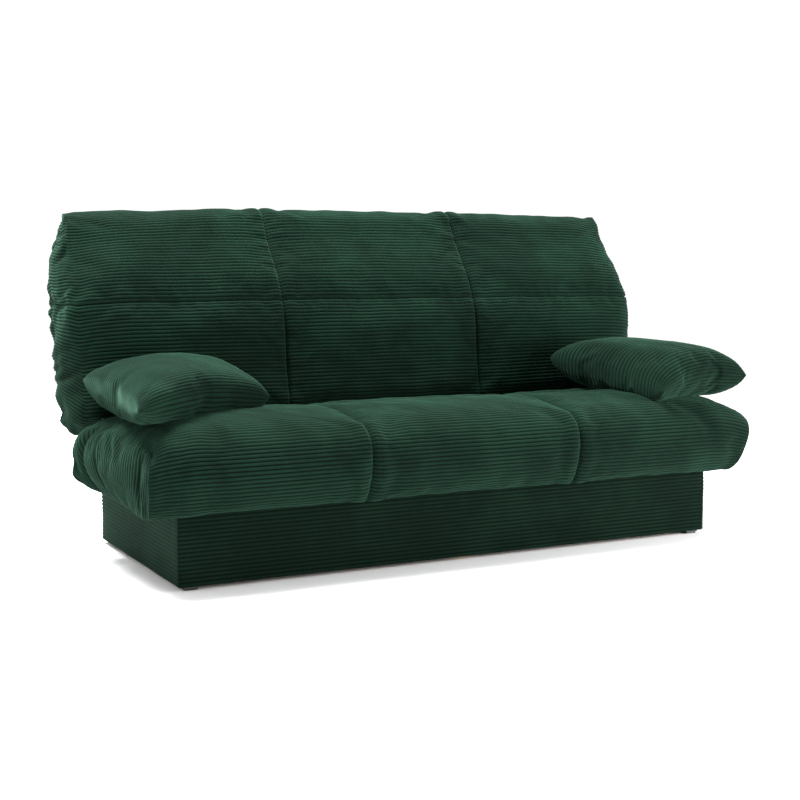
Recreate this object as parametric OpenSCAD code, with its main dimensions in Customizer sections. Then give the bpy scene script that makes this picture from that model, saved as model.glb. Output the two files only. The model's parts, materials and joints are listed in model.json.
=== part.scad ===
// Fold-down futon sofa bed: storage box on glides, hinged seat, hinged back
// and two loose pillows. Units are millimetres. The origin is on the floor,
// in the middle of the sofa's width and depth; +X is to the sitter's left,
// -Y is the front and +Z is up.

/* [Sofa] */
// Width over the end covers
sofa_w = 1900; // [1500:10:2000]
// From the origin forward to the front of the seat cover
front_reach = 470; // [440:5:500]
// From the seat's front to the hinge axis
seat_depth = 573; // [500:1:640]
// Length of the back from the hinge axis to its top
back_len = 680; // [560:1:760]
// Lean of the back from the vertical, sitting up, in degrees
back_lean = 20.9; // [12:0.1:30]
// Half of the width of the middle cover panel
seam_x = 336; // [260:1:400]

/* [Padding] */
// Foam height over the slats, at the edges of a pad
foam_h = 110; // [70:1:140]
// Extra height in the middle of the seat pad
seat_crown = 20; // [0:1:40]
// Extra height in the middle of the back pad
back_crown = 54; // [0:1:80]
// Thickness of the cover with its wadding
cover_t = 12; // [6:1:14]
// Radius of both pads' edges at the crease
crease_r = 55; // [50:1:60]
// Radius of the seat's front top edge
front_r = 78; // [50:1:90]
// Radius of the back's top front edge
top_r = 45; // [30:1:60]
// How far the hinge axis lies below the bed surface
axis_drop = 27; // [22:1:32]
// Gap between each pad's end and the plane through the axis
crease_gap = 3; // [2:1:6]
// Height of the skirt's hem over the floor
hem_z = 199; // [180:1:220]
// How far the hem is tucked in from the seat's front
hem_tuck = 46; // [20:1:60]

/* [Storage box] */
// How far the seat stands out past the box at each end
side_overhang = 94.5; // [88:0.5:120]
// Outer depth of the box boards
box_d = 717; // [560:1:800]
// Height of the box boards
box_h = 235; // [160:1:300]
// How far the seat stands out in front of the box
seat_overhang = 80; // [60:1:110]
// Board thickness
board_t = 16; // [12:1:22]
// Bottom panel thickness
bottom_t = 4; // [3:1:8]
// Height of the bottom panels over the lower edge of the boards
bottom_lift = 12; // [6:1:30]
// Width of the rail under the joint of the bottom panels
rail_w = 60; // [40:1:90]
// Side of the square corner blocks
block_s = 30; // [20:1:40]
// Thickness of the fabric on the box
skin_t = 1.5; // [1:0.5:3]
// Height of the glides
foot_h = 12; // [8:1:40]
// Width and depth of a glide
foot_s = 40; // [30:1:50]
// Height of the rubber buffers that the seat frame rests on
buffer_h = 3; // [2:1:8]

/* [Bed frames] */
// Side of the square frame tube
tube_s = 30; // [25:1:35]
// Wall of the frame tube
tube_wall = 1.5; // [1:0.5:3]
// Room between the rails and the insides of the covers
rail_room = 9; // [4:1:30]
// Number of slats in each frame
slat_count = 14; // [8:1:16]
// Width of a slat
slat_w = 53; // [38:1:70]
// Thickness of a slat
slat_t = 8; // [6:1:10]
// Rise of the slat's bow
slat_bow = 10; // [4:1:12]
// Height of the end caps on the rails
cap_h = 14; // [12:1:18]
// Length of an end cap
cap_l = 28; // [20:1:30]

/* [Hinge] */
// Plate thickness of the arms
arm_t = 4; // [3:1:6]
// Plate thickness of the box brackets
bracket_t = 5; // [4:1:8]
// Radius of the pivot pin
pin_r = 6; // [5:1:8]
// Radius of the arm's eye
eye_r = 18; // [14:1:20]
// Width of an arm
arm_w = 30; // [22:1:34]
// Thickness of the nylon washers
washer_t = 2; // [1:0.5:3]
// Radial running clearance of the arms on the pin
run_clear = 0.05; // [0.02:0.01:0.1]
// Distance from the end covers in to the foam's ends
end_room = 55; // [50:1:70]
// Radius of the lift spring's coils
spring_r = 8; // [6:1:9]
// Wire radius of the lift spring
wire_r = 1.5; // [1:0.5:2]

/* [Pillows] */
// Side of the square pillows
pillow_s = 400; // [300:10:450]
// Thickness in the middle of a pillow
pillow_t = 150; // [90:5:160]

/* [Hidden] */
$fn = 48;

// Small fixed clearances
touch = 0.2;          // between pieces that rest or are set side by side
play = 0.5;           // between neighbouring cover panels
hook_play = 1;        // spring wire in its hook
slat_lift = 3;        // floor of a slat's end cap
spring_room = 6.3;    // between the springs and the seat frame over them

// Colours
green = "#24523d";
board_c = "#c9a878";
steel_c = "#8d9093";
black_c = "#1b1b1b";

// Levels from the floor up
box_top = foot_h + box_h;
frame_z = box_top + buffer_h + touch;
foam_z = frame_z + tube_s + slat_lift + slat_t + slat_bow + touch;
bed_z = foam_z + foam_h;
axis_z = bed_z - axis_drop;
axis_y = seat_depth - front_reach;

// Places measured from the hinge axis: n is up in the flat position
n_top = axis_drop;
n_frame = frame_z - axis_z;
n_foam = foam_z - axis_z;
n_hem = hem_z - axis_z;

// The box
box_w = sofa_w - 2 * side_overhang;
box_y0 = seat_overhang - front_reach;
box_y1 = box_y0 + box_d;
in_w = box_w - 2 * board_t;
in_d = box_d - 2 * board_t;
bottom_z = foot_h + bottom_lift;

// Across the sofa, from the middle out to the end cover
end_x = sofa_w / 2;
foam_x = end_x - end_room;
frame_x = foam_x + 2;
seat_arm_x = frame_x;
back_arm_x = seat_arm_x + arm_t + washer_t;
bracket_x = back_arm_x + arm_t + washer_t;
slot_x0 = frame_x - 9;
slot_x1 = bracket_x + bracket_t + 8;

// Arm geometry, (distance from the axis, height from the axis)
arm_n = n_frame + tube_s / 2;
arm_near = 95;
arm_far = 155;
tail_hole = n_frame - spring_r - wire_r - spring_room;
slot_s = crease_gap + crease_r + 12;

// The lift spring lies under the seat frame's end tube
spring_x = frame_x - 17;
spring_z = axis_z + tail_hole;
spring_len = 300;
spring_turns = 22;
flange_z = hem_z + 13;

// ---- helpers ----

function arc(c, r, a0, a1, n = 12) =
  [for (i = [0 : n]) c + r * [cos(a0 + (a1 - a0) * i / n), sin(a0 + (a1 - a0) * i / n)]];
function back_to_front(p) = [for (i = [len(p) - 1 : -1 : 0]) p[i]];

// Top surface between the two end roundings: it rises to crown in the middle,
// along a power of a sine
function crown_line(s0, s1, n0, crown, power, steps = 24) =
  [for (i = [1 : steps - 1])
    [s0 + (s1 - s0) * i / steps, n0 + crown * pow(sin(180 * i / steps), power)]];

// Outline of the seat, inset by d, from the crease over the top to the hem
seat_front_r2 = (pow(-n_hem + n_top - front_r, 2) + hem_tuck * hem_tuck) / (2 * hem_tuck);
function seat_path(d) = let (
    r1 = crease_r - d, r2 = front_r - d,
    s0 = crease_gap + crease_r, s1 = seat_depth - front_r,
    n1 = n_top - front_r, r3 = seat_front_r2 - d,
    sweep = asin((n1 - n_hem) / seat_front_r2))
  concat([[crease_gap + d, n_foam - 6]], arc([s0, n_top - crease_r], r1, 180, 90),
    crown_line(s0, s1, n_top - d, seat_crown, 1),
    arc([s1, n1], r2, 90, 0),
    arc([seat_depth - seat_front_r2, n1], r3, -2, -sweep, 8));

// Outline of the back, lying flat, inset by d, from the crease to its top end
function back_path(d) = let (
    r1 = crease_r - d, r2 = top_r - d,
    s0 = crease_gap + crease_r, s1 = back_len - top_r)
  concat([[crease_gap + d, n_foam - 6]], arc([s0, n_top - crease_r], r1, 180, 90),
    crown_line(s0, s1, n_top - d, back_crown, 2),
    arc([s1, n_top - top_r], r2, 90, 0), [[back_len - d, n_frame]]);

// Puts a drawing in (distance from the axis, height from the axis) upright,
// and gives it the width x0 to x1; side = -1 for the seat and 1 for the back
module slab(x0, x1) {
  translate([x0, 0, 0]) rotate([90, 0, 90]) linear_extrude(x1 - x0) children();
}
module seat_place() { translate([0, axis_y, axis_z]) mirror([0, 1, 0]) children(); }
module back_place() {
  translate([0, axis_y, axis_z]) rotate([90 - back_lean, 0, 0]) children();
}
module both_ends() {
  children();
  mirror([1, 0, 0]) children();
}

// Flat bar with round ends from a to b
module bar(a, b, w) {
  d = b - a;
  translate(a) rotate(atan2(d[1], d[0])) translate([0, -w / 2]) square([norm(d), w]);
  translate(a) circle(w / 2);
  translate(b) circle(w / 2);
}

// Square tube along X, from its lowest corner
module tube_x(l) {
  difference() {
    cube([l, tube_s, tube_s]);
    translate([-1, tube_wall, tube_wall])
      cube([l + 2, tube_s - 2 * tube_wall, tube_s - 2 * tube_wall]);
  }
}
// Square tube along Y
module tube_y(l) { translate([tube_s, 0, 0]) rotate(90) tube_x(l); }

module bolt(l, r, head_r, head_h) {
  cylinder(h = l, r = r);
  translate([0, 0, -head_h]) cylinder(h = head_h, r = head_r);
}

// ---- bed frame pieces, drawn flat: Y is the distance from the axis ----

module frame_rail(s) {
  translate([-frame_x, s, n_frame]) tube_x(2 * frame_x);
}
// Furthest distance from the axis inside each cover, at the frame's height
seat_reach = seat_depth - seat_front_r2
  + sqrt(pow(seat_front_r2 - cover_t, 2) - pow(n_top - front_r - n_frame, 2));
back_reach = back_len - cover_t;
near_s = crease_gap + cover_t + rail_room;
function far_s(reach) = reach - rail_room - tube_s;
cross_xs = [for (i = [-2 : 2]) i * (frame_x - tube_s / 2) / 2];

module frame_cross(reach) {
  for (x = cross_xs)
    translate([x - tube_s / 2, near_s + tube_s, n_frame]) tube_y(far_s(reach) - near_s - tube_s);
}
// Plastic plugs in the open ends of the two rails
module frame_plugs(reach) {
  for (s = [near_s, far_s(reach)], e = [-1, 1])
    translate([e * (frame_x - 4.9) - 5, s + tube_wall + 0.1, n_frame + tube_wall + 0.1])
      cube([9.8, tube_s - 2 * tube_wall - 0.2, tube_s - 2 * tube_wall - 0.2]);
}
function slat_x(i) = (i - (slat_count - 1) / 2) * (2 * frame_x - 90) / (slat_count - 1);
cap_n = n_frame + tube_s;
slat_n = cap_n + slat_lift;
// One slat, bowed upwards, its ends in the caps over the rails
module slat_side(reach) {
  a = near_s + tube_s / 2 - cap_l / 2 + 3;
  b = far_s(reach) + tube_s / 2 + cap_l / 2 - 3;
  low = [for (i = [0 : 16]) [a + (b - a) * i / 16, slat_n + slat_bow * sin(180 * i / 16)]];
  high = [for (p = low) p + [0, slat_t]];
  polygon(concat(low, back_to_front(high)));
}
module frame_slats(reach) {
  for (i = [0 : slat_count - 1])
    slab(slat_x(i) - slat_w / 2, slat_x(i) + slat_w / 2) slat_side(reach);
}
// End cap: a box open towards the middle of the frame
module frame_caps(reach) {
  difference() {
    for (i = [0 : slat_count - 1], s = [near_s, far_s(reach)])
      translate([slat_x(i) - slat_w / 2 - 3, s + tube_s / 2 - cap_l / 2, cap_n])
        cube([slat_w + 6, cap_l, cap_h]);
    for (i = [0 : slat_count - 1])
      slab(slat_x(i) - slat_w / 2 - touch, slat_x(i) + slat_w / 2 + touch)
        fit_outline(reach);
  }
}
// The slat's outline with a little room round it, for the caps
module fit_outline(reach) {
  a = near_s + tube_s / 2 - cap_l / 2 + 3 - touch;
  b = far_s(reach) + tube_s / 2 + cap_l / 2 - 3 + touch;
  low = [for (i = [0 : 16])
    [a + (b - a) * i / 16, slat_n - touch + slat_bow * sin(180 * i / 16)]];
  high = [for (p = low) p + [0, slat_t + 2 * touch]];
  polygon(concat(low, back_to_front(high)));
}
module foam_block(path) {
  slab(-foam_x, foam_x) intersection() {
    polygon(concat(path, [[path[len(path) - 1][0], n_frame - 300], [path[0][0], n_frame - 300]]));
    translate([0, n_foam]) square([2000, 400]);
  }
}
// Cover panel between x0 and x1, with slots where the hinge arms pass
module cover_panel(outer, inner, x0, x1) {
  difference() {
    slab(x0, x1) polygon(concat(outer, back_to_front(inner)));
    both_ends() translate([slot_x0, -50, -axis_z]) cube([slot_x1 - slot_x0, slot_s + 50, axis_z + 100]);
  }
}
left_x = [-end_x + cover_t, -seam_x - play / 2];
mid_x = [-seam_x + play / 2, seam_x - play / 2];

// ---- storage box ----

module front_board(y) { translate([-box_w / 2, y, foot_h]) cube([box_w, board_t, box_h]); }
module side_board(x) {
  translate([x, box_y0 + board_t + touch, foot_h]) cube([board_t, in_d - 2 * touch, box_h]);
}
module box_front_panel() { color(board_c) front_board(box_y0); }
module box_rear_panel() { color(board_c) front_board(box_y1 - board_t); }
module box_left_panel() { color(board_c) side_board(-box_w / 2); }
module box_right_panel() { color(board_c) side_board(box_w / 2 - board_t); }

// Hardboard panels that meet over the centre rail, cut round the corner blocks
module bottom_panel() {
  difference() {
    translate([touch, box_y0 + board_t + touch, bottom_z])
      cube([in_w / 2 - 2 * touch, in_d - 2 * touch, bottom_t]);
    corner_posts(touch);
  }
}
module box_bottom_right() { color("#6b4a2f") bottom_panel(); }
module box_bottom_left() { color("#6b4a2f") mirror([1, 0, 0]) bottom_panel(); }
module box_centre_rail() {
  color(board_c) translate([-rail_w / 2, box_y0 + board_t + touch, foot_h])
    cube([rail_w, in_d - 2 * touch, bottom_lift - touch]);
}
module corner_posts(room) {
  for (sx = [-1, 1], y = [box_y0 + board_t, box_y1 - board_t - block_s])
    translate([sx * (in_w / 2 - block_s / 2) - block_s / 2 - room, y - room, foot_h + touch])
      cube([block_s + 2 * room, block_s + 2 * room, box_h - 30]);
}
module box_corner_blocks() {
  color(board_c) intersection() {
    corner_posts(0);
    translate([-in_w / 2 + touch, box_y0 + board_t + touch, 0])
      cube([in_w - 2 * touch, in_d - 2 * touch, 2000]);
  }
}
// Pan-head screws through the corner blocks into the boards
screw_zs = [foot_h + box_h * 0.25, foot_h + box_h * 0.7];
module box_screws() {
  color(steel_c)
    for (sx = [0, 1], sy = [0, 1], z = screw_zs)
      translate([0, (box_y0 + box_y1) / 2, z]) mirror([sx, 0, 0]) mirror([0, sy, 0]) {
        translate([in_w / 2 - block_s - touch, in_d / 2 - block_s / 2, 0]) rotate([0, -90, 0])
          cylinder(h = 2.5, r = 4);
        translate([in_w / 2 - block_s / 2, in_d / 2 - block_s - touch, 0]) rotate([90, 0, 0])
          cylinder(h = 2.5, r = 4);
      }
}
// Fabric stretched round the four boards
module box_cover() {
  color(green) difference() {
    translate([-box_w / 2 - skin_t, box_y0 - skin_t, foot_h])
      cube([box_w + 2 * skin_t, box_d + 2 * skin_t, box_h]);
    translate([-box_w / 2 - touch, box_y0 - touch, 0])
      cube([box_w + 2 * touch, box_d + 2 * touch, 1000]);
  }
}
// Plastic glides, bevelled towards the floor
foot_in = 15;
foot_x = box_w / 2 - foot_in - foot_s / 2;
foot_ys = [box_y0 + 5 + foot_s / 2, box_y1 - 5 - foot_s / 2];
feet = concat([for (x = [-foot_x, foot_x], y = foot_ys) [x, y]],
  [[0, (box_y0 + box_y1) / 2]]);
module glides() {
  color(black_c)
    for (p = feet) translate([p[0], p[1], 0]) {
      translate([-foot_s / 2, -foot_s / 2, foot_h / 2])
        cube([foot_s, foot_s, foot_h / 2 - touch]);
      translate([-foot_s / 2 + 3, -foot_s / 2 + 3, 0]) cube([foot_s - 6, foot_s - 6, foot_h / 2]);
    }
}
// Rubber buffers on the front board, under three of the seat's cross tubes
module seat_buffers() {
  color(black_c) for (i = [1 : 3])
    translate([cross_xs[i] - 12, box_y0 + board_t / 2 - 5, box_top]) cube([24, 10, buffer_h]);
}

// ---- hinge ----

side_x = box_w / 2 + skin_t + touch;
foot_y = [-45, 40];
bolt_ys = [-30, 25];
module bracket() {
  difference() {
    union() {
      translate([bracket_x, axis_y, axis_z]) slab(0, bracket_t) {
        circle(eye_r + 2);
        polygon([[-eye_r - 2, 0], [eye_r + 2, 0], [foot_y[1], flange_z - axis_z],
                 [foot_y[0], flange_z - axis_z]]);
      }
      translate([side_x, axis_y + foot_y[0], flange_z])
        cube([bracket_x + bracket_t - side_x, foot_y[1] - foot_y[0], bracket_t]);
      translate([side_x, axis_y + foot_y[0], flange_z])
        cube([bracket_t, foot_y[1] - foot_y[0], box_top - flange_z - 3]);
    }
    translate([0, axis_y, axis_z]) rotate([0, 90, 0]) cylinder(h = 1200, r = pin_r + run_clear);
    for (y = bolt_ys) translate([side_x - 1, axis_y + y, (flange_z + bracket_t + box_top) / 2])
      rotate([0, 90, 0]) cylinder(h = bracket_t + 2, r = 3.2);
  }
}
module bracket_left() { color(steel_c) mirror([1, 0, 0]) bracket(); }
module bracket_right() { color(steel_c) bracket(); }
// Round-headed bolts that hold the brackets on the box
module bracket_bolts() {
  color(steel_c) both_ends() for (y = bolt_ys)
    translate([side_x + bracket_t + touch, axis_y + y, (flange_z + bracket_t + box_top) / 2])
      rotate([0, -90, 0]) bolt(bracket_t, 3, 6, 4);
}
pin_x0 = seat_arm_x - 0.6;
pin_x1 = bracket_x + bracket_t + 0.6;
module pivot_pin() {
  translate([pin_x0 - 4, axis_y, axis_z]) rotate([0, 90, 0]) cylinder(h = 4, r = 9);
  translate([pin_x0, axis_y, axis_z]) rotate([0, 90, 0]) cylinder(h = pin_x1 - pin_x0, r = pin_r);
  translate([pin_x1, axis_y, axis_z]) rotate([0, 90, 0]) cylinder(h = 4, r = 9);
}
module pivot_pin_left() { color(steel_c) mirror([1, 0, 0]) pivot_pin(); }
module pivot_pin_right() { color(steel_c) pivot_pin(); }
module pivot_washers() {
  color("#e8e6df") both_ends()
    for (x = [seat_arm_x + arm_t, back_arm_x + arm_t])
      translate([x + 0.2, axis_y, axis_z]) rotate([0, 90, 0]) difference() {
        cylinder(h = washer_t - 0.4, r = 14);
        translate([0, 0, -1]) cylinder(h = washer_t + 2, r = pin_r + run_clear);
      }
}
// Arm from the pin to the frame's end tube; tail holds the lift spring
module arm_shape(tail) {
  difference() {
    union() {
      circle(eye_r);
      bar([0, 0], [arm_near, arm_n], arm_w - 4);
      bar([arm_near, arm_n], [arm_far, arm_n], arm_w - 4);
      if (tail) bar([0, 0], [0, tail_hole], 22);
    }
    circle(pin_r + run_clear);
    for (s = [arm_near, arm_far]) translate([s, arm_n]) circle(4.2);
    if (tail) translate([0, tail_hole]) circle(3);
  }
}
module seat_arm() {
  color(steel_c) seat_place() slab(seat_arm_x + touch, seat_arm_x + arm_t) arm_shape(true);
}
module back_arm() {
  color(steel_c) back_place() slab(back_arm_x, back_arm_x + arm_t) arm_shape(false);
}
module seat_arm_right() { seat_arm(); }
module seat_arm_left() { mirror([1, 0, 0]) seat_arm(); }
module back_arm_right() { back_arm(); }
module back_arm_left() { mirror([1, 0, 0]) back_arm(); }

module arm_bolts(head_x) {
  both_ends() for (s = [arm_near, arm_far])
    translate([head_x + touch, s, arm_n]) rotate([0, -90, 0])
      bolt(head_x - frame_x, 4, 7, 4);
}
module seat_bolts() { color(steel_c) seat_place() arm_bolts(seat_arm_x + arm_t); }
module back_bolts() { color(steel_c) back_place() arm_bolts(back_arm_x + arm_t); }
// Spacers between the back arms and the back frame's end tubes
module back_spacers() {
  color(black_c) back_place() both_ends() for (s = [arm_near, arm_far])
    translate([frame_x + touch, s, arm_n]) rotate([0, 90, 0]) difference() {
      cylinder(h = back_arm_x - frame_x - 2 * touch, r = 11);
      translate([0, 0, -1]) cylinder(h = 40, r = 4.2);
    }
}
// Hook plates on the box sides for the front ends of the lift springs
module spring_hooks() {
  color(steel_c) both_ends() {
    translate([side_x, axis_y - spring_len - 34, spring_z - 12]) cube([3, 40, 24]);
    difference() {
      translate([side_x, axis_y - spring_len - 14, spring_z - 4]) cube([spring_x - side_x + 9, 8, 8]);
      translate([spring_x, axis_y - spring_len - 20, spring_z]) rotate([-90, 0, 0])
        cylinder(h = 30, r = wire_r + hook_play);
    }
  }
}
// Tension spring: a helix swept with a five-sided wire, with straight end legs
coil_step = 45;
helix_n = spring_turns * 360 / coil_step;
coil_y0 = -spring_len + 34;
coil_y1 = -34;
function coil_pt(i) = [spring_r * cos(coil_step * i), coil_y0 + (coil_y1 - coil_y0) * i / helix_n,
  spring_r * sin(coil_step * i)];
leg_in = [[0, -spring_len - 8, 0], [0, coil_y0 - 16, 0], [spring_r * 0.7, coil_y0 - 7, -3]];
leg_out = [[spring_r * 0.7, coil_y1 + 7, 3], [0, coil_y1 + 16, 0], [0, -14, 0]];
spring_path = concat(leg_in, [for (i = [0 : helix_n]) coil_pt(i)], leg_out);
function unit(v) = v / norm(v);
function ring(path, i, r, sides) = let (
    a = path[max(i - 1, 0)], b = path[min(i + 1, len(path) - 1)], t = unit(b - a),
    coil = i > len(leg_in) && i < len(path) - len(leg_out) - 1,
    u = unit(coil ? cross(t, [0, 1, 0]) : cross(cross(t, [-1, 0, 0]), t)), v = cross(t, u))
  [for (k = [0 : sides - 1]) path[i] + r * (cos(360 * k / sides) * u + sin(360 * k / sides) * v)];
module sweep(path, r, sides) {
  n = len(path);
  pts = [for (i = [0 : n - 1]) each ring(path, i, r, sides)];
  walls = [for (i = [0 : n - 2], k = [0 : sides - 1])
    let (q = (k + 1) % sides, a = i * sides, b = a + sides)
      each [[a + k, a + q, b + q], [a + k, b + q, b + k]]];
  polyhedron(pts, concat(walls, [[for (k = [sides - 1 : -1 : 0]) k]],
    [[for (k = [0 : sides - 1]) (n - 1) * sides + k]]), convexity = 10);
}
module lift_spring() { translate([spring_x, axis_y, spring_z]) sweep(spring_path, wire_r, 5); }
module lift_spring_left() { color("#b9bcc0") mirror([1, 0, 0]) lift_spring(); }
module lift_spring_right() { color("#b9bcc0") lift_spring(); }

// ---- seat ----

module seat_front_rail() { color(steel_c) seat_place() frame_rail(far_s(seat_reach)); }
module seat_rear_rail() { color(steel_c) seat_place() frame_rail(near_s); }
module seat_cross_tubes() { color(steel_c) seat_place() frame_cross(seat_reach); }
module seat_tube_plugs() { color(black_c) seat_place() frame_plugs(seat_reach); }
module seat_slats() { color("#d9b98a") seat_place() frame_slats(seat_reach); }
module seat_slat_caps() { color(black_c) seat_place() frame_caps(seat_reach); }
module seat_foam() { color("#e9e2c8") seat_place() foam_block(seat_path(cover_t + touch)); }
module seat_panel(x) {
  color(green) seat_place() cover_panel(seat_path(0), seat_path(cover_t), x[0], x[1]);
}
module seat_cover_left() { seat_panel(left_x); }
module seat_cover_mid() { seat_panel(mid_x); }
module seat_cover_right() { mirror([1, 0, 0]) seat_panel(left_x); }
// End panel: the seat's outline, down to the hem
module seat_end_right() {
  color(green) seat_place() slab(end_x - cover_t + touch, end_x)
    polygon(concat([[70, n_hem]], seat_path(0)));
}
module seat_end_left() { mirror([1, 0, 0]) seat_end_right(); }

// ---- back ----

module back_top_rail() { color(steel_c) back_place() frame_rail(far_s(back_reach)); }
module back_bottom_rail() { color(steel_c) back_place() frame_rail(near_s); }
module back_cross_tubes() { color(steel_c) back_place() frame_cross(back_reach); }
module back_tube_plugs() { color(black_c) back_place() frame_plugs(back_reach); }
module back_slats() { color("#d9b98a") back_place() frame_slats(back_reach); }
module back_slat_caps() { color(black_c) back_place() frame_caps(back_reach); }
module back_foam() { color("#e9e2c8") back_place() foam_block(back_path(cover_t + touch)); }
module back_panel(x) {
  color(green) back_place() cover_panel(back_path(0), back_path(cover_t), x[0], x[1]);
}
module back_cover_left() { back_panel(left_x); }
module back_cover_mid() { back_panel(mid_x); }
module back_cover_right() { mirror([1, 0, 0]) back_panel(left_x); }
module back_end_right() {
  color(green) back_place() slab(end_x - cover_t + touch, end_x)
    polygon(concat([[70, n_frame]], back_path(0)));
}
module back_end_left() { mirror([1, 0, 0]) back_end_right(); }

// ---- pillows ----

// A square pillow, thick in the middle and thin at its corners. It is kept in
// front of the plane that the seat's pad sweeps when the seat is lifted.
rest_z = bed_z + seat_crown + 4;
pillow_open = 58;     // greatest angle of the pillow seen from the axis
pillow_inset = 200;   // from the sofa's end in to a pillow's centre
module pillow(x, y, turn) {
  c = pillow_s / 2 - 12;
  intersection() {
    translate([x, y, rest_z + pillow_t / 2]) rotate(turn) hull() {
      for (sx = [-1, 1], sy = [-1, 1]) translate([sx * c, sy * c, 0]) sphere(10, $fn = 16);
      cylinder(h = pillow_t - 50, r = pillow_s * 0.40, center = true, $fn = 48);
      cylinder(h = pillow_t, r = pillow_s * 0.22, center = true, $fn = 48);
    }
    translate([-end_x, axis_y, axis_z]) rotate([180 - pillow_open, 0, 0])
      cube([2 * end_x, 1200, 1200]);
  }
}
module pillow_left() { color(green) pillow(pillow_inset - end_x, -65, 10); }
module pillow_right() { color(green) pillow(end_x - pillow_inset, -145, 22); }

box_front_panel();
box_rear_panel();
box_left_panel();
box_right_panel();
box_bottom_left();
box_bottom_right();
box_centre_rail();
box_corner_blocks();
box_screws();
box_cover();
glides();
seat_buffers();
bracket_left();
bracket_right();
bracket_bolts();
pivot_pin_left();
pivot_pin_right();
pivot_washers();
spring_hooks();
seat_front_rail();
seat_rear_rail();
seat_cross_tubes();
seat_tube_plugs();
seat_slats();
seat_slat_caps();
seat_foam();
seat_cover_left();
seat_cover_mid();
seat_cover_right();
seat_end_left();
seat_end_right();
seat_arm_left();
seat_arm_right();
seat_bolts();
lift_spring_left();
lift_spring_right();
back_top_rail();
back_bottom_rail();
back_cross_tubes();
back_tube_plugs();
back_slats();
back_slat_caps();
back_foam();
back_cover_left();
back_cover_mid();
back_cover_right();
back_end_left();
back_end_right();
back_arm_left();
back_arm_right();
back_bolts();
back_spacers();
pillow_left();
pillow_right();
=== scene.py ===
"""A fold-down sofa bed in green corduroy: storage box, hinged seat and back, two loose pillows."""
import json
import math

import bmesh
import bpy
import numpy as np
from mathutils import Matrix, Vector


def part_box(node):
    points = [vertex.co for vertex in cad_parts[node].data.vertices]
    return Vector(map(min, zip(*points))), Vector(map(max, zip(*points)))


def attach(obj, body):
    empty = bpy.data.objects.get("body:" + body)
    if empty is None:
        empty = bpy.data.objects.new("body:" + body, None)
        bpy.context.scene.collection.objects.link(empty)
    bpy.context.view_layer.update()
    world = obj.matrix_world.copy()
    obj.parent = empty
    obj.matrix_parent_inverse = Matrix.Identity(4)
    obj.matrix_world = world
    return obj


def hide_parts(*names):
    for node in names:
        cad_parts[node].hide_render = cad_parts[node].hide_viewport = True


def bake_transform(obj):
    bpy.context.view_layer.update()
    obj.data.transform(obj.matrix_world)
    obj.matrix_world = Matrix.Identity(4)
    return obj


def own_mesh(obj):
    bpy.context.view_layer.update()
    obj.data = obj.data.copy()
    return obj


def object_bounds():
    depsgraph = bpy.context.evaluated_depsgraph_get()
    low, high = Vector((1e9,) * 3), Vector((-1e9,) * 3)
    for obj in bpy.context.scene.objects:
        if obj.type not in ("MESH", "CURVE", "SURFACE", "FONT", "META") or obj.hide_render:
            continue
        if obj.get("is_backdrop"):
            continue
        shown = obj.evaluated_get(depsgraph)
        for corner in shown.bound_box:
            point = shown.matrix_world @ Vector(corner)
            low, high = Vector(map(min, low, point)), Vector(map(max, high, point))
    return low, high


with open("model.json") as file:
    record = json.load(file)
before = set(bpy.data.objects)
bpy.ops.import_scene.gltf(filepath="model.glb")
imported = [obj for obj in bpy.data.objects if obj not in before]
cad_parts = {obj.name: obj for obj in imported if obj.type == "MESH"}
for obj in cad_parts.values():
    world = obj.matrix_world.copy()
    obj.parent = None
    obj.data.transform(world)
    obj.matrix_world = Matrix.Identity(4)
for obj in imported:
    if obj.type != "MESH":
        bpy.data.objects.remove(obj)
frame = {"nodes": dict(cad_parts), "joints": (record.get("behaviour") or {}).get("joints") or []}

cad_low, cad_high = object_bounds()


# ---- Camera ----
# A long lens at sitting height, in front of the sofa's left end, looks slightly down
# along the seat.
camera = bpy.data.objects.new("camera", bpy.data.cameras.new("camera"))
camera.data.lens = 61.74
camera.location = (-1.954, -3.728, 0.842)
camera.rotation_euler = (math.radians(84.34), 0, math.radians(-27.52))
bpy.context.scene.collection.objects.link(camera)
bpy.context.scene.camera = camera


# ---- Floor ----
# A seamless sheet of white studio paper, which gives a plain, even ground without gloss.
def linear(hex_colour):
    """An sRGB hex colour as linear red, green, blue and 1: each channel is c / 12.92 where it
    is dark, and ((c + 0.055) / 1.055) to the power 2.4 elsewhere."""
    c = np.array([int(hex_colour[i:i + 2], 16) / 255 for i in (1, 3, 5)])
    c = np.where(c <= 0.04045, c / 12.92, ((c + 0.055) / 1.055) ** 2.4)
    return (*c.tolist(), 1.0)


def new_material(name, **sockets):
    """A material with one Principled shader, whose sockets take the values given."""
    material = bpy.data.materials.new(name)
    material.use_nodes = True
    shader = material.node_tree.nodes["Principled BSDF"]
    for socket, value in sockets.items():
        shader.inputs[socket.replace("_", " ")].default_value = value
    return material, shader


def add(material, kind, values=None, links=None, **settings):
    """Adds one node: settings are its properties, values its sockets' numbers, and links what
    each socket is joined to, as (node, output)."""
    node = material.node_tree.nodes.new(kind)
    for key, value in settings.items():
        setattr(node, key, value)
    for key, value in (values or {}).items():
        node.inputs[key].default_value = value
    for key, (source, output) in (links or {}).items():
        material.node_tree.links.new(source.outputs[output], node.inputs[key])
    return node


def join(material, source, output, shader, socket):
    """Joins a node's output to a socket of the shader."""
    material.node_tree.links.new(source.outputs[output], shader.inputs[socket])


def two_tone(material, source, output, first, second):
    """A colour that goes from first to second as a node's output goes from 0 to 1."""
    return add(material, "ShaderNodeMix", {6: linear(first), 7: linear(second)},
               {0: (source, output)}, data_type="RGBA")


def grid_faces(at):
    """Quads of a grid, from its array of point numbers in rows and columns."""
    return np.stack([at[:-1, :-1], at[:-1, 1:], at[1:, 1:], at[1:, :-1]], -1).reshape(-1, 4)


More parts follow.
